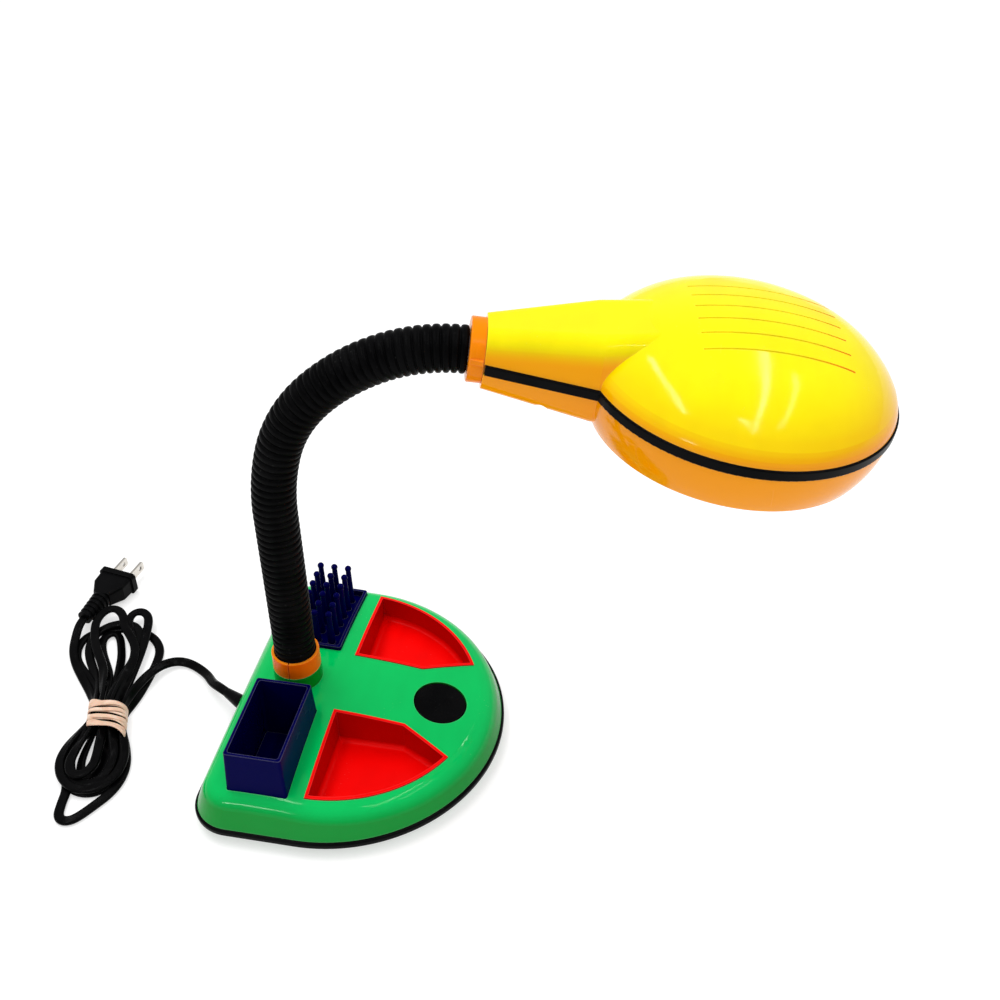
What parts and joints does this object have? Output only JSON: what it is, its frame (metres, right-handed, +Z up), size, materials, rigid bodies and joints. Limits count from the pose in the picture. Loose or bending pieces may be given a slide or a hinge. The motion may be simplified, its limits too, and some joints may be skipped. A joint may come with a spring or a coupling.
{
  "type": "gooseneck desk lamp",
  "caption": "Desk lamp with a ribbed gooseneck, a round drop-shaped shade and a D-shaped weighted base with pen box, peg rack, trays and push button",
  "frame": {"origin": "on the desk under the centre of the base's round front", "axes": "+X to the base's round front, +Y to the left seen from behind, +Z up"},
  "size_m": [0.474, 0.2195, 0.2739],
  "materials": {
    "green_plastic": "smooth moulded, glossy",
    "navy_plastic": "smooth moulded, glossy",
    "red_plastic": "smooth moulded, glossy",
    "orange_plastic": "smooth moulded, satin",
    "yellow_plastic": "smooth moulded, high gloss",
    "black_trim": "extruded, satin",
    "black_plastic": "smooth moulded, glossy",
    "black_hose": "ribbed flexible sleeve, satin",
    "steel": "zinc plated",
    "foam": "closed-cell foam",
    "ballast_iron": "rough plate",
    "reflector_metal": "spun, white enamel inside",
    "bulb_glass": "frosted",
    "bulb_metal": "rolled screw cap",
    "cord_vinyl": "soft vinyl, satin",
    "tie_rubber": "plain natural rubber",
    "blade_metal": "nickel plated",
    "socket_plastic": "phenolic"
  },
  "bodies": {
    "base": {"base_shell": "green_plastic", "base_trim_band": "black_trim", "base_pan": "green_plastic", "foam_foot": "foam", "ballast_plate": "ballast_iron", "base_screws": "steel", "pen_box": "navy_plastic", "peg_rack": "navy_plastic", "tray_far": "red_plastic", "tray_near": "red_plastic", "switch_body": "socket_plastic", "neck_washer": "steel", "neck_nut": "steel", "base_collar_front": "orange_plastic", "base_collar_rear": "orange_plastic", "hose_sleeve_01": "black_hose", "hose_conduit_01": "steel", "cord_bushing": "black_trim", "inner_lead": "cord_vinyl", "neck_lead": "cord_vinyl", "cord_lead": "cord_vinyl", "cord_hank": "cord_vinyl", "hank_tie": "tie_rubber", "cord_tail": "cord_vinyl", "plug_body": "black_plastic", "plug_blades": "blade_metal"},
    "button": {"push_button": "black_plastic"},
    "link_02": {"hose_sleeve_02": "black_hose", "hose_conduit_02": "steel"},
    "link_03": {"hose_sleeve_03": "black_hose", "hose_conduit_03": "steel"},
    "link_04": {"hose_sleeve_04": "black_hose", "hose_conduit_04": "steel"},
    "link_05": {"hose_sleeve_05": "black_hose", "hose_conduit_05": "steel"},
    "link_06": {"hose_sleeve_06": "black_hose", "hose_conduit_06": "steel"},
    "link_07": {"hose_sleeve_07": "black_hose", "hose_conduit_07": "steel"},
    "link_08": {"hose_sleeve_08": "black_hose", "hose_conduit_08": "steel"},
    "link_09": {"hose_sleeve_09": "black_hose", "hose_conduit_09": "steel"},
    "link_10": {"hose_sleeve_10": "black_hose", "hose_conduit_10": "steel"},
    "head": {"hose_sleeve_11": "black_hose", "hose_conduit_11": "steel", "head_collar": "orange_plastic", "head_nut": "steel", "head_upper_shell": "yellow_plastic", "head_lower_shell": "yellow_plastic", "head_trim_band": "black_trim", "reflector": "reflector_metal", "lamp_socket": "socket_plastic", "socket_bracket": "steel", "bulb_glass": "bulb_glass", "bulb_cap": "bulb_metal", "head_screws": "steel"}
  },
  "joints": [
    {"name": "lower_bend_01", "type": "hinge", "parent": "base", "child": "link_02", "pos_m": [-0.024, 0, 0.06322], "axis": [-0.2011, 0.9796, 0], "range_deg": [-12, 5]},
    {"name": "lower_bend_02", "type": "hinge", "parent": "link_02", "child": "link_03", "pos_m": [-0.024, 0, 0.08884], "axis": [-0.2011, 0.9796, 0], "range_deg": [-12, 5]},
    {"name": "side_swing_03", "type": "hinge", "parent": "link_03", "child": "link_04", "pos_m": [-0.024, 0, 0.11446], "axis": [-0.9796, -0.2011, 0], "range_deg": [-14, 14]},
    {"name": "lower_bend_04", "type": "hinge", "parent": "link_04", "child": "link_05", "pos_m": [-0.024, 0, 0.14007], "axis": [-0.2011, 0.9796, 0], "range_deg": [-12, 5]},
    {"name": "upper_bend_05", "type": "hinge", "parent": "link_05", "child": "link_06", "pos_m": [-0.02369, 0.00006, 0.16568], "axis": [-0.2011, 0.9796, 0], "range_deg": [-16, 5]},
    {"name": "side_swing_06", "type": "hinge", "parent": "link_06", "child": "link_07", "pos_m": [-0.01976, 0.00087, 0.19095], "axis": [-0.9497, -0.1949, 0.2453], "range_deg": [-14, 14]},
    {"name": "upper_bend_07", "type": "hinge", "parent": "link_07", "child": "link_08", "pos_m": [-0.01033, 0.00281, 0.21457], "axis": [-0.2011, 0.9796, 0], "range_deg": [-16, 5]},
    {"name": "upper_bend_08", "type": "hinge", "parent": "link_08", "child": "link_09", "pos_m": [0.0062, 0.0062, 0.23368], "axis": [-0.2011, 0.9796, 0], "range_deg": [-16, 5]},
    {"name": "upper_bend_09", "type": "hinge", "parent": "link_09", "child": "link_10", "pos_m": [0.02739, 0.01055, 0.24728], "axis": [-0.2011, 0.9796, 0], "range_deg": [-16, 5]},
    {"name": "upper_bend_10", "type": "hinge", "parent": "link_10", "child": "head", "pos_m": [0.05132, 0.01546, 0.25472], "axis": [-0.2011, 0.9796, 0], "range_deg": [-16, 5]},
    {"name": "button_press", "type": "slide", "parent": "base", "child": "button", "axis": [-0.1779, 0, -0.9841], "range_m": [0, 0.003], "stiffness_N_per_m": 400, "springref_m": -0.002}
  ],
  "couplings": [
    {"joint": "lower_bend_02", "follows": "lower_bend_01", "ratio": 1},
    {"joint": "lower_bend_04", "follows": "lower_bend_01", "ratio": 1},
    {"joint": "side_swing_06", "follows": "side_swing_03", "ratio": 1},
    {"joint": "upper_bend_07", "follows": "upper_bend_05", "ratio": 1},
    {"joint": "upper_bend_08", "follows": "upper_bend_05", "ratio": 1},
    {"joint": "upper_bend_09", "follows": "upper_bend_05", "ratio": 1},
    {"joint": "upper_bend_10", "follows": "upper_bend_05", "ratio": 1}
  ]
}
